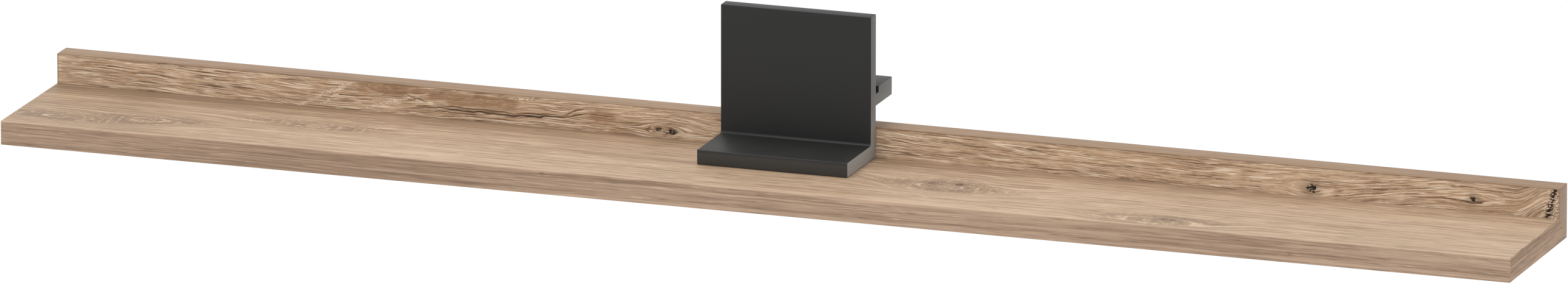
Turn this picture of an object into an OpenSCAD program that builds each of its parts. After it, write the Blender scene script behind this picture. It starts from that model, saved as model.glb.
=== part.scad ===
// Mitred L-section wall shelf on a concealed split-bevel wall cleat, with a black L-shaped holder
// that stands on the board and slides along it.
// Frame: origin at the centre of the wall cleat's rear face, +X along the shelf,
// +Y towards the wall, +Z up. All sizes are in millimetres.

/* [Shelf] */
// Length of the shelf, end to end
shelf_length = 1800; // [1200:50:2400]
// Clear depth of the board in front of the rail
clear_depth = 180; // [140:5:260]
// Thickness of the board and of the rail
panel_t = 28; // [26:1:32]
// Height of the rail above the board's top
rail_rise = 35; // [35:1:45]
// Thickness of the edge bands
band_t = 1; // [0.6:0.1:2]
// Thickness of the structured facing on the front of the rail
facing_t = 2; // [1.5:0.1:3]

/* [Mitre dowels] */
// Number of dowels along the mitre
mitre_dowel_count = 7; // [4:1:9]
// Diameter of the mitre dowels
mitre_dowel_d = 8; // [6:1:8]
// Length of the mitre dowels
mitre_dowel_length = 24; // [20:1:24]

/* [Wall cleat] */
// Distance from the wall to the back of the rail
wall_gap = 28; // [24:1:32]
// Distance from each end of the shelf to the ends of the cleats
cleat_inset = 15; // [12:1:60]
// Height of the wall cleat at the wall
cleat_root_h = 20; // [18:1:20]
// Rise of the bevel from the wall to the back of the rail
bevel_rise = 16; // [12:1:16]
// Distance from the board's underside up to the wall cleat
cleat_lift = 4; // [2:1:4]
// Distance from the top of the rail down to the top of the shelf cleat
cleat_drop = 9; // [7:0.5:9]
// Diameter of the holes for the wall screws
wall_hole_d = 5; // [4:0.5:6]
// Diameter of the wall screws' countersinks
wall_sink_d = 10; // [9:0.5:12]

/* [Cleat screws] */
// Number of screws that hold the shelf cleat on the rail
cleat_screw_count = 6; // [4:1:8]
// Diameter of the cleat screws' shank
cleat_screw_d = 4; // [3:0.5:5]
// Diameter of the cleat screws' head
cleat_head_d = 8; // [7:0.5:9]
// Length of the cleat screws
cleat_screw_length = 40; // [36:1:44]

/* [Holder] */
// Width of the holder along the shelf
holder_width = 180; // [120:5:260]
// Height of the holder's upright plate
plate_height = 167; // [140:1:220]
// Thickness of the plate and of the lip
holder_t = 17; // [14:1:20]
// Depth of the holder from the back of the plate to the front of the lip
holder_depth = 97.5; // [80:0.5:120]
// Radius of the cove between the lip and the plate
cove_r = 3; // [1:0.5:6]
// Height of the top of the arms above the board
arm_top = 81; // [78:1:120]
// Width and height of the arms' square section
arm_size = 21; // [20:1:24]
// Width of the slot behind the plate, from front to back
slot_width = 9.7; // [5:0.1:12]
// Depth of the slot below the arms' top
slot_depth = 7.2; // [5:0.1:9]
// Thickness of the felt
felt_t = 1; // [0.8:0.1:2]
// Diameter of the felt pads under the lip
pad_d = 16; // [10:1:20]

/* [Hidden] */
$fn = 48;

// Clearance between pieces that move apart
play = 0.3;
// Added to the radius of a hole that takes a dowel or a screw
hole_play = 0.05;
// How far a cut runs past the face it opens
past = 1;

// Heights
underside_z = -cleat_lift - cleat_root_h / 2;
board_top_z = underside_z + panel_t;
rail_top_z = board_top_z + rail_rise;
base_z = board_top_z + play;

// Depths, from the wall at y = 0 forwards
rail_back_y = -wall_gap;
rail_front_y = rail_back_y - panel_t;
board_front_y = rail_front_y - clear_depth;
plate_back_y = rail_front_y - play;
plate_front_y = plate_back_y - holder_t;
lip_front_y = plate_back_y - holder_depth;
arm_back_y = -play - felt_t;

// The cleats
cleat_length = shelf_length - 2 * cleat_inset;
cleat_t = wall_gap - play;
cleat_bottom_z = -cleat_root_h / 2;
bevel_z = cleat_root_h / 2;
bevel_slope = bevel_rise / wall_gap;
cleat_top_z = rail_top_z - cleat_drop;
wall_hole_spacing = (cleat_length - 90) / 3;
wall_sink_depth = (wall_sink_d - wall_hole_d) / 2;
cleat_screw_z = (cleat_top_z + bevel_z + bevel_rise) / 2;
cleat_screw_pitch = (cleat_length - 120) / (cleat_screw_count - 1);
cleat_head_h = (cleat_head_d - cleat_screw_d) / 2;

// The mitre dowels, from 132 mm inside each end
mitre_dowel_pitch = (shelf_length - 264) / (mitre_dowel_count - 1);

// The holder's inner joints
arm_bottom_z = board_top_z + arm_top - arm_size;
slot_floor_z = board_top_z + arm_top - slot_depth;
arm_x = (holder_width - arm_size) / 2;
lip_dowel_d = 8;
lip_dowel_length = 32;
lip_dowel_pitch = holder_width / 3;
arm_dowel_d = 6;
arm_dowel_length = 30;
arm_dowel_pitch = 10;
arm_dowel_z = (arm_bottom_z + slot_floor_z) / 2;
dowel_in_plate = 12;
pad_x = holder_width / 2 - 20;
pad_front_y = lip_front_y + 16;
pad_back_y = plate_front_y - 16;

// Colours
oak = [0.69, 0.58, 0.47];
oak_edge = [0.62, 0.51, 0.41];
oak_rustic = [0.60, 0.47, 0.35];
chipboard = [0.74, 0.62, 0.45];
beech = [0.83, 0.69, 0.50];
plywood = [0.78, 0.66, 0.48];
black = [0.10, 0.10, 0.10];
felt_grey = [0.22, 0.22, 0.23];
steel = [0.70, 0.70, 0.72];

// Extrudes an outline drawn in (y, z) along X, centred on x = 0.
module along_x(length) {
    rotate([90, 0, 90])
        linear_extrude(height = length, center = true)
            children();
}

// A box between two corners.
module block(low, high) {
    translate(low)
        cube(high - low);
}

// A cylinder of radius r from one point, forwards along -Y.
module forward_rod(start, length, r1, r2) {
    translate(start)
        rotate([90, 0, 0])
            cylinder(h = length, r1 = r1, r2 = r2);
}

// The x positions of a centred row.
function row(count, pitch) = [for (i = [0 : count - 1]) (i - (count - 1) / 2) * pitch];

wall_holes_x = row(4, wall_hole_spacing);
cleat_screws_x = row(cleat_screw_count, cleat_screw_pitch);
mitre_dowels_x = row(mitre_dowel_count, mitre_dowel_pitch);
lip_dowels_x = row(3, lip_dowel_pitch);
arm_dowels_x = [for (side = [-1, 1], x = row(2, arm_dowel_pitch)) side * arm_x + x];

// ---- The wall side of the cleat ----

module wall_hole(x) {
    r = wall_hole_d / 2;
    forward_rod([x, past, 0], cleat_t + 2 * past, r, r);
    forward_rod([x, -cleat_t + wall_sink_depth, 0], wall_sink_depth, r, wall_sink_d / 2);
}

module wall_cleat() {
    front_top = bevel_z + bevel_slope * cleat_t;
    color(plywood)
        difference() {
            along_x(cleat_length)
                polygon([
                    [0, cleat_bottom_z],
                    [-cleat_t, cleat_bottom_z],
                    [-cleat_t, front_top],
                    [0, bevel_z]
                ]);
            for (x = wall_holes_x)
                wall_hole(x);
        }
}

// ---- The board and the rail ----

// Dowels square to the mitre, at the middle of the joint. More is added to their radius and ends.
module mitre_dowel_row(more_r, more_length) {
    length = mitre_dowel_length + 2 * more_length;
    for (x = mitre_dowels_x)
        translate([x, (rail_front_y + rail_back_y) / 2, underside_z + panel_t / 2])
            rotate([-45, 0, 0])
                cylinder(h = length, r = mitre_dowel_d / 2 + more_r, center = true);
}

module mitre_dowels() {
    color(beech)
        mitre_dowel_row(0, 0);
}

// The board's section, from front_y back to the mitre.
module board_section(front_y) {
    polygon([
        [front_y, underside_z],
        [rail_back_y, underside_z],
        [rail_front_y, board_top_z],
        [front_y, board_top_z]
    ]);
}

module board_core() {
    color(chipboard)
        difference() {
            along_x(shelf_length - 2 * band_t)
                board_section(board_front_y + band_t);
            mitre_dowel_row(hole_play, 0.5);
        }
}

module board_front_band() {
    color(oak_edge)
        block(
            [-shelf_length / 2, board_front_y, underside_z],
            [shelf_length / 2, board_front_y + band_t, board_top_z]
        );
}

module board_end_band(side) {
    color(oak_edge)
        translate([side * (shelf_length - band_t) / 2, 0, 0])
            along_x(band_t)
                board_section(board_front_y + band_t);
}

module board_end_band_left() {
    board_end_band(-1);
}

module board_end_band_right() {
    board_end_band(1);
}

// The rail's section behind a front face at front_y, from the mitre up to the top band.
module rail_section(front_y) {
    top_z = rail_top_z - band_t;
    polygon([
        [rail_front_y, board_top_z],
        [rail_back_y, underside_z],
        [rail_back_y, top_z],
        [front_y, top_z],
        [front_y, board_top_z]
    ]);
}

module rail_core() {
    color(chipboard)
        difference() {
            along_x(shelf_length - 2 * band_t)
                rail_section(rail_front_y + facing_t);
            mitre_dowel_row(hole_play, 0.5);
            cleat_screw_row(hole_play);
        }
}

module rail_facing() {
    color(oak_rustic)
        block(
            [-shelf_length / 2 + band_t, rail_front_y, board_top_z],
            [shelf_length / 2 - band_t, rail_front_y + facing_t, rail_top_z - band_t]
        );
}

module rail_top_band() {
    color(oak)
        block(
            [-shelf_length / 2, rail_front_y, rail_top_z - band_t],
            [shelf_length / 2, rail_back_y, rail_top_z]
        );
}

module rail_end_band(side) {
    color(oak)
        translate([side * (shelf_length - band_t) / 2, 0, 0])
            along_x(band_t)
                rail_section(rail_front_y);
}

module rail_end_band_left() {
    rail_end_band(-1);
}

module rail_end_band_right() {
    rail_end_band(1);
}

// ---- The shelf side of the cleat ----

// Countersunk screws whose heads are flush with the shelf cleat's rear face.
module cleat_screw_row(more_r) {
    r = cleat_screw_d / 2 + more_r;
    head_r = cleat_head_d / 2 + more_r;
    for (x = cleat_screws_x) {
        forward_rod([x, -play, cleat_screw_z], cleat_head_h, head_r, r);
        forward_rod([x, -play, cleat_screw_z], cleat_screw_length + 10 * more_r, r, r);
    }
}

module shelf_cleat() {
    bevel_at_wall = bevel_z + bevel_slope * play + play * sqrt(1 + bevel_slope * bevel_slope);
    bevel_at_rail = bevel_at_wall + bevel_slope * cleat_t;
    color(plywood)
        difference() {
            along_x(cleat_length)
                polygon([
                    [-play, bevel_at_wall],
                    [rail_back_y, bevel_at_rail],
                    [rail_back_y, cleat_top_z],
                    [-play, cleat_top_z]
                ]);
            cleat_screw_row(hole_play);
        }
}

module cleat_screws() {
    color(steel)
        cleat_screw_row(0);
}

// ---- The holder ----

module lip_dowel_row(more_r, more_length) {
    start_y = plate_front_y + dowel_in_plate + more_length;
    r = lip_dowel_d / 2 + more_r;
    for (x = lip_dowels_x)
        forward_rod([x, start_y, base_z + holder_t / 2], lip_dowel_length + 2 * more_length, r, r);
}

module lip_dowels() {
    color(beech)
        lip_dowel_row(0, 0);
}

module arm_dowel_row(more_r, more_length) {
    start_y = plate_back_y - dowel_in_plate + arm_dowel_length + more_length;
    r = arm_dowel_d / 2 + more_r;
    for (x = arm_dowels_x)
        forward_rod([x, start_y, arm_dowel_z], arm_dowel_length + 2 * more_length, r, r);
}

module arm_dowels() {
    color(beech)
        arm_dowel_row(0, 0);
}

module holder_plate() {
    color(black)
        difference() {
            block(
                [-holder_width / 2, plate_front_y, base_z],
                [holder_width / 2, plate_back_y, board_top_z + plate_height]
            );
            lip_dowel_row(hole_play, 0.5);
            arm_dowel_row(hole_play, 0.5);
        }
}

module felt_pad_row(more_r) {
    for (x = [-pad_x, pad_x], y = [pad_front_y, pad_back_y])
        translate([x, y, base_z])
            cylinder(h = felt_t, r = pad_d / 2 + more_r);
}

module lip_felt_pads() {
    color(felt_grey)
        felt_pad_row(0);
}

// The lip, with the cove that runs up to the plate's front.
module holder_lip() {
    top_z = base_z + holder_t;
    color(black)
        difference() {
            along_x(holder_width) {
                translate([lip_front_y, base_z])
                    square([plate_front_y - lip_front_y, holder_t]);
                difference() {
                    translate([plate_front_y - cove_r, top_z])
                        square(cove_r);
                    translate([plate_front_y - cove_r, top_z + cove_r])
                        circle(r = cove_r);
                }
            }
            lip_dowel_row(hole_play, 0.5);
            felt_pad_row(hole_play);
        }
}

// An arm's side outline is a bar with a notch in its top, right behind the plate.
module holder_arm(side) {
    top_z = board_top_z + arm_top;
    color(black)
        difference() {
            translate([side * arm_x, 0, 0])
                along_x(arm_size)
                    polygon([
                        [plate_back_y, arm_bottom_z],
                        [arm_back_y, arm_bottom_z],
                        [arm_back_y, top_z],
                        [plate_back_y + slot_width, top_z],
                        [plate_back_y + slot_width, slot_floor_z],
                        [plate_back_y, slot_floor_z]
                    ]);
            arm_dowel_row(hole_play, 0.5);
        }
}

module holder_arm_left() {
    holder_arm(-1);
}

module holder_arm_right() {
    holder_arm(1);
}

module arm_felt(side) {
    inset = 1;
    color(felt_grey)
        block(
            [side * arm_x - arm_size / 2 + inset, arm_back_y, arm_bottom_z + inset],
            [side * arm_x + arm_size / 2 - inset, -play, board_top_z + arm_top - inset]
        );
}

module arm_felt_left() {
    arm_felt(-1);
}

module arm_felt_right() {
    arm_felt(1);
}

wall_cleat();
board_core();
board_front_band();
board_end_band_left();
board_end_band_right();
rail_core();
rail_facing();
rail_top_band();
rail_end_band_left();
rail_end_band_right();
mitre_dowels();
shelf_cleat();
cleat_screws();
holder_plate();
holder_lip();
holder_arm_left();
holder_arm_right();
lip_dowels();
arm_dowels();
lip_felt_pads();
arm_felt_left();
arm_felt_right();
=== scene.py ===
import math

import bmesh
import bpy
import numpy as np
from mathutils import Matrix, Vector


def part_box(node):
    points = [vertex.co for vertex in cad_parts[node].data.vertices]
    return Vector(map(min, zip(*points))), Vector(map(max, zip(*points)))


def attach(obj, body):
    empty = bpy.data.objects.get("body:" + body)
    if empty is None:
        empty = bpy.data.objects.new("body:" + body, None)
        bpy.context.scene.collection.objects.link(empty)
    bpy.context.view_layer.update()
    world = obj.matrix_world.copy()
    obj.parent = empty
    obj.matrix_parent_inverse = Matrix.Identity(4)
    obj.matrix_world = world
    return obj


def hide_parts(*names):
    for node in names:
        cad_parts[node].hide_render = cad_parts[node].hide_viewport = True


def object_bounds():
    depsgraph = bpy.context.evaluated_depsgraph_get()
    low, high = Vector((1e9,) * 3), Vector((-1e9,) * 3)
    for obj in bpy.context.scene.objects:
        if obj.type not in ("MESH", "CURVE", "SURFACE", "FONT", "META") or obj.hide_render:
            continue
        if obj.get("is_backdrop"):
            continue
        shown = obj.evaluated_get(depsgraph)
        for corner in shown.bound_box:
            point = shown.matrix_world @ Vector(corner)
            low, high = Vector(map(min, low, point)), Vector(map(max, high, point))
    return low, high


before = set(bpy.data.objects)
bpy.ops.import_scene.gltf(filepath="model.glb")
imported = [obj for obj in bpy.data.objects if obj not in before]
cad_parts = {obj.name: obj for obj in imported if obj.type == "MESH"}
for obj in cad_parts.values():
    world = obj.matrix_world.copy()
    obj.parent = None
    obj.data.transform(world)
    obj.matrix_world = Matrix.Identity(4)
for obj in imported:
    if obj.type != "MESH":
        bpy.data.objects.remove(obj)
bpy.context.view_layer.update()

MM = 0.001
X, Y, Z = 0, 1, 2
scene = bpy.context.scene
scene.view_settings.view_transform = "Standard"
scene.view_settings.look = "None"

# ---------------------------------------------------------------- places, from the frame

TOP_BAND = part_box("rail_top_band")
FRONT_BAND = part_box("board_front_band")
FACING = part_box("rail_facing")
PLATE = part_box("holder_plate")
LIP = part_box("holder_lip")
ARMS = {side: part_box("holder_arm_" + side) for side in ("left", "right")}

HALF_LENGTH = TOP_BAND[1].x
BAND = FRONT_BAND[1].y - FRONT_BAND[0].y
FRONT_Y = FRONT_BAND[0].y
UNDER_Z, BOARD_Z = FRONT_BAND[0].z, FRONT_BAND[1].z
RAIL_FRONT_Y, RAIL_BACK_Y = TOP_BAND[0].y, TOP_BAND[1].y
RAIL_Z = TOP_BAND[1].z
FACING_T = FACING[1].y - FACING[0].y
# The arms' slots and the cove between plate and lip, as they are in the solids.
SLOT_WIDTH, SLOT_DEPTH = 9.7 * MM, 7.2 * MM
COVE_R = 3 * MM


# ---------------------------------------------------------------- mesh helpers

def add_mesh(name, bm):
    """A new object from a bmesh, with its normals outwards."""
    bmesh.ops.recalc_face_normals(bm, faces=bm.faces)
    mesh = bpy.data.meshes.new(name)
    bm.to_mesh(mesh)
    bm.free()
    made = bpy.data.objects.new(name, mesh)
    scene.collection.objects.link(made)
    return made


def prism(bm, outline, x0, x1):
    """A closed prism along X from an outline of (y, z) points."""
    low = [bm.verts.new((x0, y, z)) for y, z in outline]
    high = [bm.verts.new((x1, y, z)) for y, z in outline]
    bm.faces.new(low)
    bm.faces.new(high)
    for i in range(len(outline)):
        j = (i + 1) % len(outline)
        bm.faces.new((low[i], low[j], high[j], high[i]))


def rectangle(y0, y1, z0, z1):
    """The outline of a rectangle seen along X."""
    return [(y0, z0), (y1, z0), (y1, z1), (y0, z1)]


def near(a, b, tolerance=0.001 * MM):
    return abs(a - b) < tolerance


def shade_smooth(obj, angle=35):
    """Smooth shading, with edges over the angle kept sharp."""
    mesh = obj.data
    mesh.polygons.foreach_set("use_smooth", [True] * len(mesh.polygons))
    bm = bmesh.new()
    bm.from_mesh(mesh)
    for e in bm.edges:
        e.smooth = len(e.link_faces) == 2 and e.calc_face_angle(0) < math.radians(angle)
    bm.to_mesh(mesh)
    bm.free()


def rounded_prism(name, outline, x0, x1, radius, chosen):
    """A prism along X, rounded on the edges for whose middle chosen(middle) is true."""
    bm = bmesh.new()
    prism(bm, outline, x0, x1)
    edges = [e for e in bm.edges if chosen((e.verts[0].co + e.verts[1].co) / 2)]
    bmesh.ops.bevel(
        bm, geom=edges, offset=radius, segments=3, profile=0.5,
        affect="EDGES", clamp_overlap=True,
    )
    made = add_mesh(name, bm)
    shade_smooth(made)
    return made


def fit_out(obj, material, body, slot, *nodes):
    """Gives a new piece its material and body, and hides the CAD nodes that it stands for. The slot is
    not used.
    """
    obj.data.materials.clear()
    obj.data.materials.append(material)
    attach(obj, body)
    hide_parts(*nodes)


def paint(node, material):
    """Gives a CAD node its material."""
    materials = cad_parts[node].data.materials
    materials.clear()
    materials.append(material)


# ---------------------------------------------------------------- node helpers

class Tree:
    """A short way to write a material's nodes. Sockets and plain numbers can be mixed."""

    def __init__(self, name):
        self.material = bpy.data.materials.new(name)
        self.material.use_nodes = True
        self.nodes = self.material.node_tree.nodes
        self.links = self.material.node_tree.links
        self.nodes.clear()
        self.out = self.nodes.new("ShaderNodeOutputMaterial")
        self.bsdf = self.nodes.new("ShaderNodeBsdfPrincipled")
        self.links.new(self.bsdf.outputs[0], self.out.inputs["Surface"])

    def put(self, value, socket):
        if isinstance(value, bpy.types.NodeSocket):
            self.links.new(value, socket)
        else:
            socket.default_value = value

    def math(self, operation, *values, clamp=False):
        node = self.nodes.new("ShaderNodeMath")
        node.operation = operation
        node.use_clamp = clamp
        for value, socket in zip(values, node.inputs):
            self.put(value, socket)
        return node.outputs[0]

    def add(self, a, b):
        return self.math("ADD", a, b)

    def sub(self, a, b):
        return self.math("SUBTRACT", a, b)

    def mul(self, a, b):
        return self.math("MULTIPLY", a, b)

    def div(self, a, b):
        return self.math("DIVIDE", a, b)

    def mad(self, a, b, c):
        return self.math("MULTIPLY_ADD", a, b, c)

    def step(self, value, low, high, to_low=0.0, to_high=1.0):
        """A smooth ramp from to_low at low to to_high at high."""
        node = self.nodes.new("ShaderNodeMapRange")
        node.interpolation_type = "SMOOTHSTEP"
        for x, socket in zip((value, low, high, to_low, to_high), node.inputs):
            self.put(x, socket)
        return node.outputs[0]

    def place(self):
        """The row frame's x, y and z, in metres."""
        coordinates = self.nodes.new("ShaderNodeTexCoord")
        split = self.nodes.new("ShaderNodeSeparateXYZ")
        self.links.new(coordinates.outputs["Object"], split.inputs[0])
        return split.outputs

    def vector(self, x, y, z):
        node = self.nodes.new("ShaderNodeCombineXYZ")
        for value, socket in zip((x, y, z), node.inputs):
            self.put(value, socket)
        return node.outputs[0]

    def noise(self, vector, scale=1.0, detail=2.0, roughness=0.5, distortion=0.0):
        node = self.nodes.new("ShaderNodeTexNoise")
        self.links.new(vector, node.inputs["Vector"])
        node.inputs["Scale"].default_value = scale
        node.inputs["Detail"].default_value = detail
        node.inputs["Roughness"].default_value = roughness
        node.inputs["Distortion"].default_value = distortion
        return node.outputs[0]

    def grain(self, u, v, along, across, seed, detail=2.0, roughness=0.5):
        """Noise drawn out along u, with its frequencies per metre along and across the grain."""
        point = self.vector(self.mul(u, along), self.mul(v, across), seed)
        return self.noise(point, detail=detail, roughness=roughness)

    def ramp(self, value, stops):
        node = self.nodes.new("ShaderNodeValToRGB")
        self.put(value, node.inputs[0])
        ramp = node.color_ramp
        while len(ramp.elements) < len(stops):
            ramp.elements.new(0.5)
        for element, (at, colour) in zip(ramp.elements, stops):
            element.position = at
            element.color = (*colour, 1)
        return node.outputs[0]

    def mix(self, share, a, b):
        """Colour a, with a share of colour b over it."""
        node = self.nodes.new("ShaderNodeMix")
        node.data_type = "RGBA"
        self.put(share, node.inputs[0])
        for value, socket in ((a, node.inputs[6]), (b, node.inputs[7])):
            self.put(value if isinstance(value, bpy.types.NodeSocket) else (*value, 1), socket)
        return node.outputs[2]

    def attribute(self, name):
        node = self.nodes.new("ShaderNodeAttribute")
        node.attribute_name = name
        return node.outputs["Fac"]

    def bump(self, height, strength, distance):
        node = self.nodes.new("ShaderNodeBump")
        node.inputs["Strength"].default_value = strength
        node.inputs["Distance"].default_value = distance
        self.links.new(height, node.inputs["Height"])
        return node.outputs[0]

    def finish(self, colour, roughness, normal=None, specular=0.5):
        """Sets the surface and returns the material."""
        self.put(colour, self.bsdf.inputs["Base Color"])
        self.put(roughness, self.bsdf.inputs["Roughness"])
        self.bsdf.inputs["Specular IOR Level"].default_value = specular
        if normal is not None:
            self.links.new(normal, self.bsdf.inputs["Normal"])
        return self.material


def srgb(r, g, b):
    """Linear colour from 0 to 255 display values."""
    return tuple(
        c / 255 / 12.92 if c <= 10.31 else ((c / 255 + 0.055) / 1.055) ** 2.4
        for c in (r, g, b)
    )


# ---------------------------------------------------------------- oak decor

KNOT_HEART = srgb(72, 50, 32)
# How far from the corner at the rail the painted shade on the board's top reaches.
CORNER_SHADE_REACH = 55 * MM


def darker(colour, share):
    return tuple(c * share for c in colour)


def brighter(colour, share):
    return tuple(min(1, c * share) for c in colour)


def bend_round(t, u, v, knots):
    """The coordinate across the grain, bent round each knot, and each knot's distance.

    A knot is (u, v, radius, stretch along the grain).
    """
    flow = v
    distances = []
    for knot_u, knot_v, radius, stretch in knots:
        du = t.div(t.sub(u, knot_u), radius * stretch)
        dv = t.div(t.sub(v, knot_v), radius)
        square = t.mad(du, du, t.mul(dv, dv))
        flow = t.add(flow, t.div(t.mul(dv, -radius), t.add(square, 0.35)))
        distances.append(t.math("SQRT", square))
    return flow, distances


def ring_round(t, u, g, arcs):
    """The coordinate across the grain, closed into rings in each figure, and how far in a point is.

    A figure is (u, v, half length, half width).
    """
    inside = 0.0
    for arc_u, arc_v, length, width in arcs:
        du = t.div(t.sub(u, arc_u), length)
        dv = t.div(t.sub(g, arc_v), width)
        ring = t.math("SQRT", t.mad(du, du, t.mul(dv, dv)))
        share = t.step(ring, 0.4, 1.7, 0.95, 0.0)
        g = t.add(g, t.mul(share, t.sub(t.mad(ring, width, arc_v), g)))
        inside = t.math("MAXIMUM", share, inside)
    return g, inside


def oak(name, along, across, light, dark, seed, knots=(), arcs=(),
        contrast=1.0, wave=1.0, fine=1.0, drift=0.0, corner=None, arris=None):
    """Oak decor. along and across are row axes, 0 to 2.

    wave and fine scale the grain's waver and its finest frequencies, and drift brightens it along
    the grain. Painted shade darkens it just before a corner, a place across the grain. An arris
    gets a painted highlight along that edge: (row axis, place, width, strength).
    """
    t = Tree(name)
    place = t.place()
    u, v = place[along], place[across]
    slow = t.grain(u, v, 1.3, 4.0, seed, detail=1)
    quick = t.grain(u, v, 9.0, 34.0, seed + 3)
    flow, distances = bend_round(t, u, v, knots)
    g = t.add(flow, t.mad(slow, 0.011 * wave, t.mul(quick, 0.0030 * wave)))
    g, inside = ring_round(t, u, g, arcs)

    bands = t.grain(u, g, 0.8, 30.0, seed + 7, roughness=0.6)
    streaks = t.grain(u, g, 2.2, 210.0, seed + 11, detail=4, roughness=0.66)
    fibres = t.grain(u, g, 11.0, 720.0 * fine, seed + 17, detail=3, roughness=0.62)
    pores = t.grain(u, g, 34.0, 1150.0 * fine, seed + 23)
    flecks = t.grain(u, g, 26.0, 560.0 * fine, seed + 27)
    patches = t.grain(u, v, 3.0, 9.0, seed + 31)
    tone = 0.5
    for layer, weight in ((bands, 0.36), (streaks, 1.00), (fibres, 1.15), (patches, 0.34)):
        tone = t.mad(t.sub(layer, 0.5), weight * contrast, tone)
    tone = t.mad(u, drift, tone)
    # Painted shade: the board is darkened towards the corner where it meets the rail.
    if corner is not None:
        tone = t.sub(tone, t.step(t.sub(corner, v), 0.0, CORNER_SHADE_REACH, 0.22, 0.0))
    pore = t.mul(t.step(pores, 0.58, 0.68), t.step(streaks, 0.40, 0.60, 1.0, 0.35))
    tone = t.mad(pore, -0.34 * contrast, tone)
    fleck = t.mul(t.step(flecks, 0.60, 0.70), t.step(patches, 0.40, 0.60, 0.25, 1.0))
    tone = t.mad(fleck, 0.34 * contrast, tone)
    if arcs:
        tone = t.mad(inside, -0.24 * contrast, tone)
        threads = t.grain(u, g, 170.0, 900.0 * fine, seed + 37)
        tone = t.mad(t.mul(inside, t.step(threads, 0.50, 0.62)), 0.26 * contrast, tone)

    middle = tuple((a + b) / 2 for a, b in zip(light, dark))
    colour = t.ramp(tone, [
        (0.10, darker(dark, 0.70)), (0.33, dark), (0.50, middle), (0.67, light),
        (0.92, brighter(light, 1.16)),
    ])
    for distance, knot in zip(distances, knots):
        rings = t.grain(distance, u, 7.0, 30.0, seed + knot[0])
        halo = t.mul(t.step(distance, 0.7, 2.6, 0.55, 0.0), t.step(rings, 0.25, 0.75, 0.6, 1.1))
        colour = t.mix(halo, colour, darker(dark, 0.66))
        broken = t.mad(t.sub(patches, 0.5), 0.6, t.mad(t.sub(fibres, 0.5), 1.8, distance))
        colour = t.mix(t.step(broken, 0.50, 0.85, 0.92, 0.0), colour, KNOT_HEART)
        speck = t.mul(t.step(rings, 0.50, 0.60), t.step(broken, 0.45, 0.90, 0.75, 0.0))
        colour = t.mix(speck, colour, brighter(light, 1.15))
    # A painted highlight along the arris, broken up in places.
    if arris is not None:
        axis, edge, width, strength = arris
        gap = t.math("ABSOLUTE", t.sub(place[axis], edge))
        ragged = t.grain(u, v, 16.0, 60.0, seed + 41, detail=3)
        highlight_breaks = t.step(ragged, 0.35, 0.72, 0.0, 0.45)
        painted_highlight = t.math("SUBTRACT", t.step(gap, 0.0, width, strength, 0.0), highlight_breaks, clamp=True)
        colour = t.mix(painted_highlight, colour, brighter(light, 1.22))
    relief = t.mad(fibres, 0.5, t.mad(streaks, 0.6, t.mul(pore, -0.7)))
    rough = t.mad(t.sub(fibres, 0.5), 0.22, 0.55)
    return t.finish(colour, rough, t.bump(relief, 0.35, 0.3 * MM), specular=0.35)


board_top_oak = oak(
    "oak_board_top", X, Y, srgb(182, 157, 131), srgb(151, 125, 100), seed=1.0,
    # Painted shade in the corner at the rail, and a painted highlight along the front arris.
    fine=0.42, contrast=1.1, drift=0.13, corner=RAIL_FRONT_Y, arris=(Y, FRONT_Y, 6.0 * MM, 0.70),
    knots=[
        (0.188, -0.140, 8.5 * MM, 1.00), (0.218, -0.138, 5.5 * MM, 1.10),
        (0.486, -0.204, 6.0 * MM, 2.40), (0.288, -0.221, 1.0 * MM, 2.00),
    ],
    arcs=[
        (-0.834, -0.186, 85 * MM, 20 * MM), (-0.742, -0.166, 60 * MM, 17 * MM),
        (-0.554, -0.130, 90 * MM, 18 * MM), (0.478, -0.204, 75 * MM, 20 * MM),
        (0.210, -0.142, 85 * MM, 28 * MM),
    # This figure beside the holder is darkened partly as the oak's own figure and partly as painted
    # shade beside the holder.
    ],
)
board_front_oak = oak(
    "oak_board_front", X, Z, srgb(176, 149, 126), srgb(143, 117, 95), seed=5.0,
    # A painted highlight along the top arris.
    wave=1.2, fine=0.80, drift=0.09, arris=(Z, BOARD_Z, 3.0 * MM, 0.70),
    knots=[(-0.246, 0.010, 1.2 * MM, 2.0), (0.641, -0.004, 0.9 * MM, 2.0)],
)
board_end_oak = oak(
    "oak_end", Y, Z, srgb(168, 139, 111), srgb(124, 94, 69), seed=9.0, wave=1.4, contrast=1.1,
)
rail_end_oak = oak(
    "oak_rail_end", Y, Z, srgb(152, 127, 103), srgb(133, 107, 84), seed=12.0,
    wave=0.6, contrast=0.55,
)
rail_top_oak = oak(
    "oak_rail_top", X, Y, srgb(151, 125, 99), srgb(129, 102, 78), seed=14.0,
    wave=0.5, fine=0.42, contrast=0.7,
)


# ---------------------------------------------------------------- board and rail bands

BAND_ROUND = 0.7 * MM
END_ROUND = 0.5 * MM

front_band = rounded_prism(
    "front_band_rounded", rectangle(FRONT_Y, FRONT_Y + BAND, UNDER_Z, BOARD_Z),
    -HALF_LENGTH, HALF_LENGTH, BAND_ROUND, lambda m: near(m.y, FRONT_Y),
)
fit_out(front_band, board_front_oak, "shelf", "oak_edge", "board_front_band")

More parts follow.
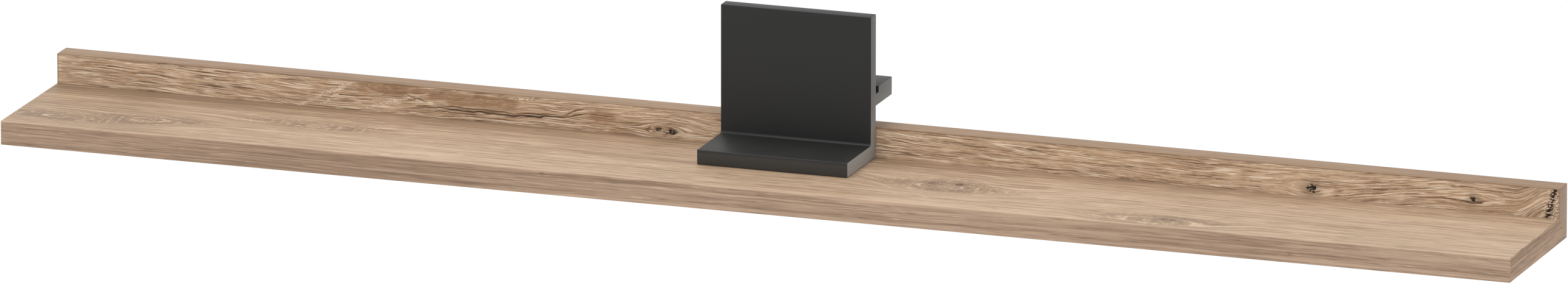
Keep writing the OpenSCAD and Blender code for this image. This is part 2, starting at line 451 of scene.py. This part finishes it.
BOARD_END = [
    (FRONT_Y + BAND, UNDER_Z), (RAIL_BACK_Y, UNDER_Z), (RAIL_FRONT_Y, BOARD_Z),
    (FRONT_Y + BAND, BOARD_Z),
]
RAIL_END = [
    (RAIL_FRONT_Y, BOARD_Z), (RAIL_BACK_Y, UNDER_Z), (RAIL_BACK_Y, RAIL_Z - BAND),
    (RAIL_FRONT_Y, RAIL_Z - BAND),
]
for side, sign in (("left", -1), ("right", 1)):
    outer, inner = sign * HALF_LENGTH, sign * (HALF_LENGTH - BAND)
    board_band = rounded_prism(
        "board_end_band_rounded_" + side, BOARD_END, inner, outer, END_ROUND,
        lambda m: near(m.x, outer) and (near(m.z, UNDER_Z) or near(m.z, BOARD_Z)),
    )
    fit_out(board_band, board_end_oak, "shelf", "oak_edge", "board_end_band_" + side)
    rail_band = rounded_prism(
        "rail_end_band_rounded_" + side, RAIL_END, inner, outer, END_ROUND,
        lambda m: near(m.x, outer) and (near(m.y, RAIL_FRONT_Y) or near(m.y, RAIL_BACK_Y)),
    )
    fit_out(rail_band, rail_end_oak, "shelf", "oak_smooth", "rail_end_band_" + side)

top_band = rounded_prism(
    "rail_top_band_rounded", rectangle(RAIL_FRONT_Y, RAIL_BACK_Y, RAIL_Z - BAND, RAIL_Z),
    -HALF_LENGTH, HALF_LENGTH, BAND_ROUND, lambda m: near(m.z, RAIL_Z),
)
fit_out(top_band, rail_top_oak, "shelf", "oak_smooth", "rail_top_band")

paint("board_core", board_top_oak)
paint("rail_core", rail_top_oak)


# ---------------------------------------------------------------- rustic facing, its relief in the mesh

def lattice_noise(x, y, seed):
    """Smooth gradient noise from -1 to 1, at arrays of points, the same each run."""
    grid = np.random.default_rng(seed).uniform(0, 2 * math.pi, (256, 256))
    cell_x, cell_y = np.floor(x).astype(int), np.floor(y).astype(int)
    part_x, part_y = x - cell_x, y - cell_y
    ease_x, ease_y = (p * p * p * (p * (p * 6 - 15) + 10) for p in (part_x, part_y))

    def corner(i, j):
        angle = grid[(cell_x + i) % 256, (cell_y + j) % 256]
        return np.cos(angle) * (part_x - i) + np.sin(angle) * (part_y - j)

    low = corner(0, 0) * (1 - ease_x) + corner(1, 0) * ease_x
    high = corner(0, 1) * (1 - ease_x) + corner(1, 1) * ease_x
    return (low * (1 - ease_y) + high * ease_y) * 1.5


def layered(x, y, seed, layers=3, gain=0.55):
    """Layers of noise, each twice as fine as the one before and weaker by the gain."""
    total, size = np.zeros_like(x), 1.0
    for i in range(layers):
        total += size * lattice_noise(x * 2**i, y * 2**i, seed + i)
        size *= gain
    return total


def smooth(value, low, high):
    """A smooth ramp from 0 at low to 1 at high."""
    share = np.clip((value - low) / (high - low), 0, 1)
    return share * share * (3 - 2 * share)


FACING_HEIGHT = FACING[1].z - FACING[0].z
# The marks of the facing. along is X; up is a share of the facing's height.
# Knots: along, up, radius, stretch along.
FACING_KNOTS = [
    (-0.171, 0.26, 3.0 * MM, 1.6),
    (-0.155, 0.23, 4.8 * MM, 1.7),
    (0.608, 0.30, 6.6 * MM, 1.3),
    (0.799, 0.41, 4.4 * MM, 1.3),
]
# Where the grain climbs or falls: from, to, and by how much.
FACING_DRIFTS = [
    (-0.859, -0.696, -3.5 * MM), (-0.696, -0.554, -4.5 * MM), (-0.533, -0.392, 7.0 * MM),
    (0.030, 0.507, -12.0 * MM), (0.616, 0.773, 15.0 * MM), (0.846, 0.893, 20.0 * MM),
]
# Pale crackled bands: from (along, up) to (along, up), and half width.
FACING_CRACKLES = [
    (-0.606, 0.02, -0.538, 1.00, 3.2 * MM), (-0.579, 0.10, -0.554, 0.60, 2.0 * MM),
    (-0.523, 0.14, -0.472, 0.58, 2.2 * MM), (-0.472, 0.60, -0.432, 0.40, 1.6 * MM),
    (-0.353, 0.86, -0.316, 0.98, 1.6 * MM),
]
# Dark sinuous cracks, given as the bands are.
FACING_CRACKS = [
    (-0.462, 0.34, -0.351, 0.27, 1.5 * MM), (-0.363, 0.26, -0.281, 0.40, 1.6 * MM),
    (-0.440, 0.20, -0.388, 0.22, 0.6 * MM), (-0.285, 0.48, -0.262, 0.72, 0.9 * MM),
    (-0.279, 0.42, -0.256, 0.60, 0.7 * MM), (-0.475, 0.64, -0.450, 0.50, 0.7 * MM),
    (-0.258, 0.62, -0.225, 0.52, 0.4 * MM), (-0.445, 0.42, -0.345, 0.36, 0.8 * MM),
    (-0.345, 0.37, -0.292, 0.46, 0.8 * MM),
]
# Calm brown islands: along, up, half length, half height.
FACING_ISLANDS = [
    (-0.493, 0.85, 50 * MM, 8.0 * MM), (-0.392, 0.68, 70 * MM, 9.5 * MM),
    (-0.239, 0.55, 22 * MM, 8.5 * MM),
]
# The split near the right end leans: its place at the foot, its lean and its half width.
SPLIT_AT, SPLIT_LEAN, SPLIT_HALF = 0.8855, 8.5 * MM, 3.6 * MM
# The plain surface between the marks lies about this far behind the solid's front.
FACING_SET_BACK = 0.30 * MM


def stroke(u, v, line):
    """How near each point is to a wavering line, from 1 on it to 0 away from it."""
    u0, up0, u1, up1, width = line
    v0, v1 = up0 * FACING_HEIGHT, up1 * FACING_HEIGHT
    waver_u = u + 0.0022 * layered(u * 70, v * 90, 111, 2)
    waver_v = v + 0.0013 * layered(u * 60, v * 60, 113, 2)
    run_u, run_v = u1 - u0, v1 - v0
    share = ((waver_u - u0) * run_u + (waver_v - v0) * run_v) / (run_u**2 + run_v**2)
    share = np.clip(share, 0, 1)
    gap = np.hypot(waver_u - u0 - share * run_u, waver_v - v0 - share * run_v)
    taper = np.sqrt(np.clip(4 * share * (1 - share) + 0.08, 0, 1))
    return np.exp(-((gap / (width * taper)) ** 2))


def strokes(u, v, lines):
    """The nearest of several strokes."""
    return np.maximum.reduce([stroke(u, v, line) for line in lines])


def facing_flow(u, v):
    """The coordinate across the grain, bent round the knots, and the nearest knot's distance."""
    flow = v + 0.0022 * layered(u * 5, v * 26, 11, 2) + 0.0008 * layered(u * 24, v * 100, 13, 2)
    for start, end, climb in FACING_DRIFTS:
        flow -= climb * smooth(u, start, end)
    nearest = np.full_like(u, 9.0)
    for at, up, radius, stretch in FACING_KNOTS:
        du, dv = u - at, v - up * FACING_HEIGHT
        reach = np.exp(-((du / (6.5 * radius)) ** 2) - (dv / (2.4 * radius)) ** 2)
        flow -= 0.80 * dv * reach
        nearest = np.minimum(nearest, np.hypot(du / (radius * stretch), dv / radius))
    return flow, nearest


def facing_calm(u, v):
    """1 inside the calm islands, 0 outside, with ragged borders."""
    calm = np.zeros_like(u)
    for at, up, half_u, half_v in FACING_ISLANDS:
        ring = np.hypot((u - at) / half_u, (v - up * FACING_HEIGHT) / half_v)
        ring += 0.25 * layered(u * 60, v * 120, 61, 2)
        calm = np.maximum(calm, 1 - smooth(ring, 0.50, 1.20))
    return calm


def facing_split(u, v):
    """The split, the pale burl beyond it and on its rims, and the burl's whole zone."""
    at = SPLIT_AT + SPLIT_LEAN * (v / FACING_HEIGHT)
    at += 0.0016 * layered(v * 260, v * 0 + 3.3, 81, 2)
    half = SPLIT_HALF + 0.0012 * layered(v * 330, v * 0 + 7.7, 83, 2)
    split = 1 - smooth(np.abs(u - at) / half, 0.6, 1.25)
    zone = smooth(u, at + 2.2 * MM, at + 4.0 * MM)
    rim = 0.8 * np.exp(-(((np.abs(u - at) - half * 1.5) / (1.1 * MM)) ** 2))
    burl = np.maximum(zone, rim) * smooth(layered(u * 520, v * 520, 91, 2), -0.10, 0.40)
    return split, burl, zone


def facing_fields(u, v):
    """Relief depth behind the front in metres, then darkness, paleness, warmth and grain."""
    flow, knot_near = facing_flow(u, v)
    calm = facing_calm(u, v)
    split, burl, burl_zone = facing_split(u, v)

    def grained(along, across, seed, layers=2):
        return layered(u * along, flow * across, seed, layers)

    # Short dashes, broader furrows and thin ridges along the grain.
    where = grained(8, 90, 31)
    dash = smooth(grained(30, 900, 21), 0.26, 0.58) * smooth(where, -0.55, 0.15)
    furrow = smooth(grained(11, 520, 25), 0.42, 0.82) * smooth(where, -0.30, 0.35)
    ridge = smooth(grained(36, 860, 27), 0.24, 0.52) * smooth(grained(10, 80, 33), -0.35, 0.25)
    crackle_band = strokes(u, v, FACING_CRACKLES)
    crackle = crackle_band * smooth(layered(u * 330, v * 620, 71, 2), -0.30, 0.10)
    crack = strokes(u, v, FACING_CRACKS)
    core = 1 - smooth(knot_near + 0.40 * layered(u * 330, v * 330, 95, 2), 0.55, 1.05)
    split_speck = split * smooth(layered(u * 480, v * 420, 93, 2), 0.12, 0.42)
    knot_speck = core * smooth(layered(u * 560, v * 620, 99, 2), 0.30, 0.55)
    quiet = 1 - 0.85 * calm

    depth = FACING_SET_BACK - 0.12 * MM * grained(7, 170, 51, 3) - 0.04 * MM * grained(40, 900, 41)
    depth += MM * (0.42 * dash + 0.45 * furrow - 0.12 * ridge) * quiet
    depth += MM * (0.70 * crack - 0.16 * crackle + 0.18 * crackle_band)
    depth += MM * (1.10 * core - 0.60 * knot_speck)
    depth += MM * (1.30 * split - 0.50 * split_speck - 0.40 * burl)
    # Darkness: the cracks, knots and split of the decor, and painted shade in the dashes and furrows.
    dark = np.maximum.reduce([
        0.30 * dash * quiet, 0.28 * furrow * quiet, 0.95 * crack,
        core - knot_speck, 0.45 * (1 - smooth(knot_near, 0.9, 2.4)),
        split - split_speck, 0.65 * burl_zone * (1 - burl),
    ])
    # Paleness: the crackle, specks and burl of the decor, and a painted highlight on the ridges.
    pale = np.maximum.reduce([
        0.30 * ridge * quiet, 1.00 * crackle, 0.60 * knot_speck,
        0.95 * burl * (1 - split), 0.70 * split_speck,
    ])
    warm = calm + 0.25 * crackle_band
    depth = np.clip(depth, 0, FACING_T * 0.8)
    return depth, np.clip(dark, 0, 1), np.clip(pale, 0, 1), np.clip(warm, 0, 1), flow


def facing_mesh(columns=1180, rows=80):
    """A closed slab whose front carries the relief, with its fields as attributes."""
    x0, x1 = FACING[0].x, FACING[1].x
    z0, back_y = FACING[0].z, FACING[1].y
    u, v = np.meshgrid(
        np.linspace(x0, x1, columns), np.linspace(0, FACING_HEIGHT, rows), indexing="ij",
    )
    depth, *fields = facing_fields(u, v)
    front = np.stack([u, RAIL_FRONT_Y + depth, z0 + v], axis=2).reshape(-1, 3)
    # The grid's border, once round, as columns and rows.
    ring = (
        [(i, 0) for i in range(columns)]
        + [(columns - 1, j) for j in range(1, rows)]
        + [(i, rows - 1) for i in range(columns - 2, -1, -1)]
        + [(0, j) for j in range(rows - 2, 0, -1)]
    )
    back = [(u[i, j], back_y, z0 + v[i, j]) for i, j in ring]
    points = np.concatenate([front, np.array(back)])
    i, j = np.meshgrid(np.arange(columns - 1), np.arange(rows - 1), indexing="ij")
    a = (i * rows + j).reshape(-1)
    faces = np.stack([a, a + rows, a + rows + 1, a + 1], axis=1).tolist()
    count = columns * rows
    border = [i * rows + j for i, j in ring]
    for k, p in enumerate(border):
        n = (k + 1) % len(border)
        faces.append([border[n], p, count + k, count + n])
    faces.append([count + k for k in range(len(border))])
    mesh = bpy.data.meshes.new("rail_facing_relief")
    mesh.from_pydata(points.tolist(), [], faces)
    mesh.validate()
    for name, field in zip(("dark", "pale", "warm", "grain"), fields):
        values = np.zeros(len(points))
        values[:count] = field.reshape(-1)
        layer = mesh.attributes.new(name, "FLOAT", "POINT")
        layer.data.foreach_set("value", values)
    made = bpy.data.objects.new("rail_facing_relief", mesh)
    scene.collection.objects.link(made)
    shade_smooth(made, 50)
    return made


# Thin strokes along the grain: seed, frequency along and across, colour, strength.
RUSTIC_STROKES = [
    (9.0, 12.0, 640.0, srgb(104, 75, 51), 0.85),
    (12.0, 19.0, 640.0, srgb(238, 219, 195), 0.85),
    (15.0, 27.0, 800.0, srgb(112, 82, 57), 0.70),
    (18.0, 44.0, 900.0, srgb(236, 216, 191), 0.80),
]
RUSTIC_BROWN, RUSTIC_BLACK = srgb(98, 70, 47), srgb(36, 27, 19)
RUSTIC_PALE, RUSTIC_FLECK = srgb(236, 216, 192), srgb(226, 204, 178)


def rustic_oak():
    """Split oak: the grain, then the strokes, then what the relief's fields darken and lighten, with
    painted shade in its furrows and painted highlight on its ridges.
    """
    t = Tree("oak_rustic")
    place = t.place()
    u, v, g = place[X], place[Z], t.attribute("grain")
    warm = t.attribute("warm")
    bands = t.grain(u, g, 1.6, 60.0, 2.0, roughness=0.6)
    streaks = t.grain(u, g, 6.0, 340.0, 4.0, detail=3, roughness=0.65)
    fibres = t.grain(u, g, 26.0, 1100.0, 6.0, detail=3, roughness=0.6)
    flecks = t.grain(u, g, 110.0, 760.0, 7.0)
    patches = t.grain(u, v, 4.0, 22.0, 8.0)
    tone = 0.5
    for layer, weight in ((bands, 0.55), (streaks, 0.75), (fibres, 1.00), (patches, 0.35)):
        tone = t.mad(t.sub(layer, 0.5), weight, tone)
    colour = t.ramp(tone, [
        (0.12, srgb(136, 107, 80)), (0.34, srgb(172, 141, 112)), (0.50, srgb(192, 162, 132)),
        (0.66, srgb(207, 178, 148)), (0.90, srgb(226, 200, 171)),
    ])
    heart = t.ramp(tone, [
        (0.2, srgb(128, 97, 70)), (0.5, srgb(155, 121, 91)), (0.8, srgb(173, 140, 109)),
    ])
    colour = t.mix(t.mul(warm, 0.95), colour, heart)
    fleck = t.mul(t.step(flecks, 0.56, 0.64, 0.0, 0.55), t.step(patches, 0.40, 0.60, 0.45, 1.0))
    colour = t.mix(fleck, colour, RUSTIC_FLECK)
    calm = t.mad(warm, -0.90, 1.0)
    for seed, along, across, tint, strength in RUSTIC_STROKES:
        dashes = t.grain(u, g, along, across, seed, roughness=0.4)
        broken = t.grain(u, g, 6.0, 110.0, seed + 1)
        dash = t.mul(
            t.step(dashes, 0.575, 0.625, 0.0, strength), t.step(broken, 0.38, 0.54, 0.25, 1.0),
        )
        colour = t.mix(t.mul(dash, calm), colour, tint)
    # The relief's fields: the decor's own marks, and painted highlight on the ridges and painted shade
    # in the dashes and furrows.
    pale = t.mul(t.attribute("pale"), t.step(fibres, 0.30, 0.60, 0.70, 1.0))
    colour = t.mix(pale, colour, RUSTIC_PALE)
    dark = t.mul(t.attribute("dark"), t.step(streaks, 0.20, 0.80, 1.0, 0.80))
    colour = t.mix(dark, colour, RUSTIC_BROWN)
    colour = t.mix(t.step(dark, 0.62, 0.92), colour, RUSTIC_BLACK)
    normal = t.bump(t.mad(fibres, 0.6, t.mul(streaks, 0.7)), 0.5, 0.4 * MM)
    return t.finish(colour, t.mad(t.sub(streaks, 0.5), 0.2, 0.62), normal, specular=0.3)


fit_out(facing_mesh(), rustic_oak(), "shelf", "oak_rustic", "rail_facing")


# ---------------------------------------------------------------- the holder

LACQUER_ROUND = 0.8 * MM
# Painted reflection of the board lightens the foot, fading out just below its top, and the cut edges up
# to this height.
FOOT_REFLECTION_FADE = (LIP[1].z - 9 * MM, LIP[1].z - 1 * MM)
SIDE_REFLECTION_HEIGHT = 85 * MM


def black_lacquer():
    """Satin black, duller on the cut edges, which are painted paler as a painted sheen, with painted
    reflection of the board low on them and on the foot.
    """
    t = Tree("black_lacquer")
    place = t.place()
    point = t.vector(*place)
    grain = t.noise(point, scale=900, detail=2, roughness=0.6)
    cloud = t.noise(point, scale=22, detail=3)
    peel = t.noise(point, scale=260, detail=2)
    geometry = t.nodes.new("ShaderNodeNewGeometry")
    outward = t.nodes.new("ShaderNodeSeparateXYZ")
    t.links.new(geometry.outputs["Normal"], outward.inputs[0])
    edge = t.step(t.math("ABSOLUTE", outward.outputs[X]), 0.55, 0.85)
    colour = t.ramp(cloud, [(0.25, srgb(19, 19, 18)), (0.75, srgb(24, 24, 23))])
    # Painted reflection: the foot is lightened as if it reflected the board.
    colour = t.mix(t.step(place[Z], *FOOT_REFLECTION_FADE, 1.0, 0.0), colour, srgb(53, 52, 50))
    # The cut edges are painted paler as a painted sheen, and paler still low down as painted reflection
    # of the board.
    painted_side_sheen = t.ramp(cloud, [(0.25, srgb(92, 92, 90)), (0.75, srgb(101, 100, 98))])
    low = t.step(place[Z], BOARD_Z, BOARD_Z + SIDE_REFLECTION_HEIGHT, 1.0, 0.0)
    painted_side_sheen = t.mix(low, painted_side_sheen, srgb(147, 146, 143))
    colour = t.mix(edge, colour, painted_side_sheen)
    colour = t.mix(t.step(grain, 0.66, 0.74, 0.0, 0.25), colour, srgb(56, 56, 55))
    rough = t.mad(t.sub(cloud, 0.5), 0.14, t.mad(t.sub(grain, 0.5), 0.10, 0.50))
    rough = t.mad(edge, 0.12, rough)
    normal = t.bump(t.mad(grain, 0.25, peel), 0.10, 0.2 * MM)
    return t.finish(colour, rough, normal, specular=0.40)


def apply_modifiers(obj):
    """Replaces the mesh by what its modifiers make of it."""
    graph = bpy.context.evaluated_depsgraph_get()
    made = bpy.data.meshes.new_from_object(obj.evaluated_get(graph))
    obj.modifiers.clear()
    obj.data = made


def combine(obj, other, operation):
    """Joins or intersects obj with the other solid, which is then removed."""
    modifier = obj.modifiers.new("combine", "BOOLEAN")
    modifier.operation = operation
    modifier.solver = "EXACT"
    modifier.object = other
    apply_modifiers(obj)
    bpy.data.objects.remove(other)


def cut(name, source, low, high):
    """The piece of the source solid that lies between two corners."""
    bm = bmesh.new()
    bmesh.ops.create_cube(bm, size=1)
    bmesh.ops.scale(bm, verts=bm.verts, vec=high - low)
    bmesh.ops.translate(bm, verts=bm.verts, vec=(low + high) / 2)
    box = add_mesh(name + "_box", bm)
    made = bpy.data.objects.new(name, source.data.copy())
    scene.collection.objects.link(made)
    combine(made, box, "INTERSECT")
    shade_smooth(made)
    return made


def holder_outline():
    """Plate and lip from the side, with the cove between them."""
    turns = 8
    corner_y, floor_z = LIP[1].y, LIP[1].z - COVE_R
    cove = [
        (corner_y - COVE_R + COVE_R * math.sin(a), floor_z + COVE_R - COVE_R * math.cos(a))
        for a in (i * math.pi / 2 / turns for i in range(turns + 1))
    ]
    return [
        (LIP[0].y, LIP[0].z), (PLATE[1].y, LIP[0].z), (PLATE[1].y, PLATE[1].z),
        (PLATE[0].y, PLATE[1].z), *reversed(cove), (LIP[0].y, floor_z),
    ]


def arm_outline(low, high, overlap=4 * MM):
    """An arm from the side, with its slot, reaching into the plate by the overlap."""
    slot_z = high.z - SLOT_DEPTH
    return [
        (PLATE[1].y - overlap, low.z), (high.y, low.z), (high.y, high.z),
        (PLATE[1].y + SLOT_WIDTH, high.z), (PLATE[1].y + SLOT_WIDTH, slot_z),
        (PLATE[1].y - overlap, slot_z),
    ]


def holder_body():
    """The whole lacquered holder as one rounded solid, before it is cut into its pieces."""
    bm = bmesh.new()
    prism(bm, holder_outline(), PLATE[0].x, PLATE[1].x)
    body = add_mesh("holder_body", bm)
    for side, (low, high) in ARMS.items():
        bm = bmesh.new()
        prism(bm, arm_outline(low, high), low.x, high.x)
        combine(body, add_mesh("arm_" + side, bm), "UNION")
    rounded = body.modifiers.new("rounded", "BEVEL")
    rounded.width = LACQUER_ROUND
    rounded.segments = 3
    rounded.limit_method = "ANGLE"
    rounded.angle_limit = math.radians(40)
    rounded.use_clamp_overlap = True
    apply_modifiers(body)
    return body


def holder_boxes(spare=10 * MM):
    """Each piece's box. It ends at the joints with its neighbours and passes the free sides."""
    (x0, y0, z0), (x1, y1, z1) = PLATE
    return {
        "holder_lip": (
            LIP[0] - Vector((spare, spare, spare)), Vector((x1 + spare, LIP[1].y, z1 + spare)),
        ),
        "holder_plate": (
            Vector((x0 - spare, y0, z0 - spare)), Vector((x1 + spare, y1, z1 + spare)),
        ),
        "holder_arm_left": (Vector((x0 - spare, y1, z0)), Vector((0, spare, z1))),
        "holder_arm_right": (Vector((0, y1, z0)), Vector((x1 + spare, spare, z1))),
    }


body = holder_body()
lacquer = black_lacquer()
for node, (low, high) in holder_boxes().items():
    piece = cut(node + "_lacquered", body, low, high)
    fit_out(piece, lacquer, "holder", "black_lacquer", node)
bpy.data.objects.remove(body)


# ---------------------------------------------------------------- the pieces behind and inside

PLY = 2.8 * MM


def plywood():
    """Long and cross plies by turns, stacked along Y."""
    t = Tree("plywood")
    u, v, w = t.place()
    layer = t.math("FRACT", t.mad(v, 1 / PLY, 0.1))
    cross = t.step(layer, 0.40, 0.60)
    fibres = t.noise(t.vector(t.mul(u, 12.0), t.mul(w, 500.0), t.mul(v, 500.0)), detail=3)
    ends = t.noise(t.vector(t.mul(u, 700.0), t.mul(w, 700.0), t.mul(v, 200.0)), detail=2)
    cloud = t.grain(u, w, 3.0, 20.0, 5.0)
    tone = t.mad(t.sub(fibres, 0.5), 0.7, t.mad(t.sub(cloud, 0.5), 0.5, 0.5))
    long_ply = t.ramp(tone, [
        (0.2, srgb(176, 146, 105)), (0.5, srgb(205, 178, 137)), (0.8, srgb(222, 199, 160)),
    ])
    cross_ply = t.ramp(ends, [(0.3, srgb(134, 102, 68)), (0.7, srgb(172, 140, 100))])
    colour = t.mix(t.mul(cross, 0.7), long_ply, cross_ply)
    normal = t.bump(t.mad(ends, 0.4, fibres), 0.35, 0.3 * MM)
    return t.finish(colour, t.mad(t.sub(fibres, 0.5), 0.2, 0.68), normal, specular=0.3)


def beech():
    """Pale wood with short dark flecks."""
    t = Tree("beech")
    u, v, w = t.place()
    flecks = t.noise(t.vector(t.mul(u, 800.0), t.mul(v, 140.0), t.mul(w, 140.0)), detail=3)
    colour = t.ramp(flecks, [
        (0.3, srgb(196, 160, 116)), (0.6, srgb(216, 184, 142)), (0.75, srgb(178, 138, 96)),
    ])
    return t.finish(colour, t.mad(flecks, 0.2, 0.5), t.bump(flecks, 0.3, 0.2 * MM), specular=0.3)


def zinc():
    """Zinc-plated steel, clouded and finely scratched."""
    t = Tree("zinc_steel")
    u, v, w = t.place()
    cloud = t.noise(t.vector(u, v, w), scale=300, detail=3)
    scratches = t.noise(
        t.vector(t.mul(u, 2500.0), t.mul(v, 300.0), t.mul(w, 2500.0)), detail=2,
    )
    colour = t.ramp(cloud, [(0.3, srgb(168, 168, 170)), (0.7, srgb(200, 199, 192))])
    t.bsdf.inputs["Metallic"].default_value = 1.0
    return t.finish(colour, t.mad(scratches, 0.3, 0.22), t.bump(scratches, 0.15, 0.1 * MM))


def felt():
    """Pressed grey felt with a short nap."""
    t = Tree("felt")
    point = t.vector(*t.place())
    hair = t.noise(point, scale=1400, detail=3, roughness=0.7, distortion=1.5)
    cloud = t.noise(point, scale=180, detail=2)
    tone = t.mad(t.sub(hair, 0.5), 0.8, cloud)
    colour = t.ramp(tone, [(0.3, srgb(58, 58, 60)), (0.7, srgb(98, 98, 101))])
    t.bsdf.inputs["Sheen Weight"].default_value = 0.4
    return t.finish(colour, t.mad(hair, 0.2, 0.75), t.bump(hair, 0.7, 0.5 * MM), specular=0.2)


for material, nodes in (
    (plywood(), ("wall_cleat", "shelf_cleat")),
    (beech(), ("mitre_dowels", "lip_dowels", "arm_dowels")),
    (zinc(), ("cleat_screws",)),
    (felt(), ("lip_felt_pads", "arm_felt_left", "arm_felt_right")),
):
    for node in nodes:
        paint(node, material)


# ---------------------------------------------------------------- floor, light and camera

FLOOR_DROP, FLOOR_REACH = 0.9, 40.0
SKY_STRENGTH = 1.03
KEY_AT, KEY_AIM = Vector((-0.5, -0.4, 2.6)), Vector((0.0, -0.12, 0.0))
KEY_WIDTH, KEY_DEPTH, KEY_POWER = 2.4, 1.2, 34


def pale_floor():
    """A plain pale floor, far enough below that the shelf hangs clear of it."""
    bm = bmesh.new()
    bmesh.ops.create_grid(bm, x_segments=4, y_segments=4, size=FLOOR_REACH)
    bmesh.ops.translate(bm, verts=bm.verts, vec=(0, 0, UNDER_Z - FLOOR_DROP))
    floor = add_mesh("floor", bm)
    t = Tree("pale_floor")
    u, v, _ = t.place()
    cloud = t.noise(t.vector(u, v, 0.0), scale=2.0, detail=3)
    colour = t.ramp(cloud, [(0.3, (0.93, 0.93, 0.93)), (0.7, (0.95, 0.95, 0.95))])
    floor.data.materials.append(t.finish(colour, 0.9, specular=0.1))
    floor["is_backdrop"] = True


def soft_light():
    """One broad light overhead, a little to the left and in front, aimed at the shelf."""
    data = bpy.data.lights.new("key", "AREA")
    data.shape = "RECTANGLE"
    data.size, data.size_y = KEY_WIDTH, KEY_DEPTH
    data.energy = KEY_POWER
    light = bpy.data.objects.new("key", data)
    light.location = KEY_AT
    light.rotation_mode = "QUATERNION"
    light.rotation_quaternion = (KEY_AIM - KEY_AT).to_track_quat("-Z", "Y")
    scene.collection.objects.link(light)


def pale_sky():
    """Even white light from all round."""
    world = bpy.data.worlds.new("studio")
    scene.world = world
    world.use_nodes = True
    background = world.node_tree.nodes["Background"]
    background.inputs["Color"].default_value = (1.0, 1.0, 1.0, 1)
    background.inputs["Strength"].default_value = SKY_STRENGTH


# The camera stands far off with a very long lens, to the right and above.
AZIMUTH, ELEVATION, ROLL = (math.radians(angle) for angle in (19.377, 14.787, 0.046))
DISTANCE = 28.520
AIM = Vector((0.04314, FRONT_Y, UNDER_Z + 0.08651))
LENS = 300
# The sensor's height, in the lens's millimetres, is filled by the picture's height.
SENSOR_HEIGHT = 3.3511


def far_camera():
    back = Vector((
        math.sin(AZIMUTH) * math.cos(ELEVATION),
        -math.cos(AZIMUTH) * math.cos(ELEVATION),
        math.sin(ELEVATION),
    ))
    data = bpy.data.cameras.new("camera")
    data.lens = LENS
    data.sensor_fit = "VERTICAL"
    data.sensor_height = SENSOR_HEIGHT
    data.clip_start, data.clip_end = 1, 120
    camera = bpy.data.objects.new("camera", data)
    scene.collection.objects.link(camera)
    camera.location = AIM + back * DISTANCE
    camera.rotation_mode = "QUATERNION"
    tilt = Matrix.Rotation(ROLL, 3, "Z").to_quaternion()
    camera.rotation_quaternion = (-back).to_track_quat("-Z", "Y") @ tilt
    scene.camera = camera


pale_floor()
pale_sky()
soft_light()
far_camera()

low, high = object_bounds()
